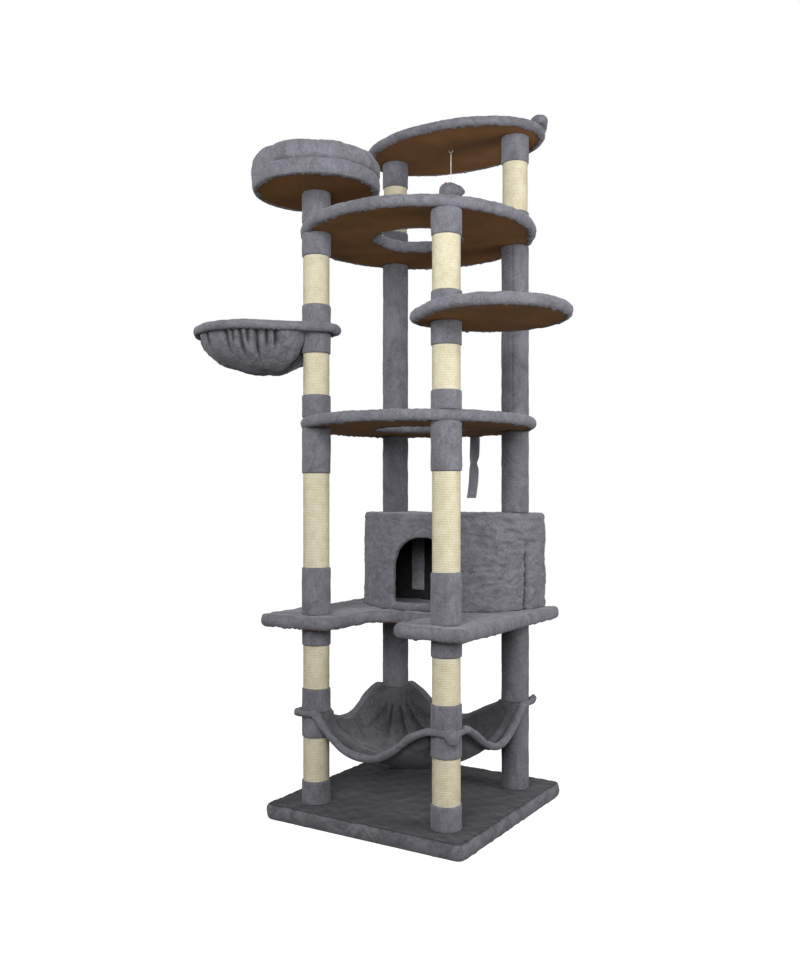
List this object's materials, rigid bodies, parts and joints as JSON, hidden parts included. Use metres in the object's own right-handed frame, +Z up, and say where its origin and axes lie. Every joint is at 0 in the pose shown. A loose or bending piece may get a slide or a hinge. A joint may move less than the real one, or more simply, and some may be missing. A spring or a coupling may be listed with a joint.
{
  "type": "cat tree",
  "caption": "Tall plush cat tree: sisal and plush posts carry a base, hammock, arched condo, round platforms with climbing holes, perches, a round bed, a basket and a hanging toy.",
  "frame": {"origin": "middle of the base's underside, on the floor", "axes": "+Z up, +X to the right along the base's front edge, +Y towards the back, where the wall strap hangs"},
  "size_m": [1.0674, 0.8105, 1.9463],
  "materials": {
    "plush": "short-pile grey plush with brushed nap",
    "sisal": "wound cream sisal rope",
    "board": "bare brown fibreboard",
    "webbing": "flat woven grey webbing",
    "steel": "bright staple wire",
    "cord": "pale twisted cord",
    "toy_plush": "short grey plush with red eyes"
  },
  "bodies": {
    "frame": {"base_board": "board", "base_cover": "plush", "condo_platform_board": "board", "condo_platform_cover": "plush", "middle_platform_board": "board", "middle_platform_cover": "plush", "upper_platform_board": "board", "upper_platform_cover": "plush", "top_perch_board": "board", "top_perch_cover": "plush", "side_perch_board": "board", "side_perch_cover": "plush", "bed_board": "board", "bed_cover": "plush", "condo_wall": "plush", "condo_roof": "plush", "condo_inner_strip": "plush", "bed_bolster": "plush", "top_perch_bolster": "plush", "basket_hoop": "plush", "basket_pouch": "plush", "hammock": "plush", "post_front_left_1": "plush", "post_front_left_2": "plush", "post_front_left_3": "plush", "post_front_left_4": "plush", "post_front_left_5": "plush", "post_front_left_6": "plush", "post_front_right_1": "plush", "post_front_right_2": "plush", "post_front_right_3": "plush", "post_front_right_4": "plush", "post_front_right_5": "plush", "post_back_left_1": "plush", "post_back_left_2": "plush", "post_back_left_3": "plush", "post_back_left_4": "plush", "post_back_left_5": "plush", "post_back_right_1": "plush", "post_back_right_2": "plush", "post_back_right_3": "plush", "post_back_right_4": "plush", "post_back_right_5": "plush", "sisal_front_left_1": "sisal", "sisal_front_left_2": "sisal", "sisal_front_left_3": "sisal", "sisal_front_left_4": "sisal", "sisal_front_left_5": "sisal", "sisal_front_right_1": "sisal", "sisal_front_right_2": "sisal", "sisal_front_right_3": "sisal", "sisal_front_right_4": "sisal", "sisal_front_right_5": "sisal", "sisal_back_left_5": "sisal", "sisal_back_right_5": "sisal", "toy_eye": "steel", "strap_anchor": "webbing"},
    "toy_line": {"toy_string": "cord"},
    "toy": {"toy_mouse": "toy_plush"},
    "strap": {"wall_strap": "webbing"}
  },
  "joints": [
    {"name": "string_swing", "type": "hinge", "parent": "frame", "child": "toy_line", "pos_m": [0.0085, 0.175, 1.889], "axis": [1, 0, 0], "range_deg": [-60, 60]},
    {"name": "mouse_swing", "type": "hinge", "parent": "toy_line", "child": "toy", "pos_m": [0.0085, 0.175, 1.8], "axis": [0, 1, 0], "range_deg": [-60, 60]},
    {"name": "strap_swing", "type": "hinge", "parent": "frame", "child": "strap", "pos_m": [0.0155, 0.3154, 1.056], "axis": [1, 0, 0], "range_deg": [0, 90]}
  ]
}
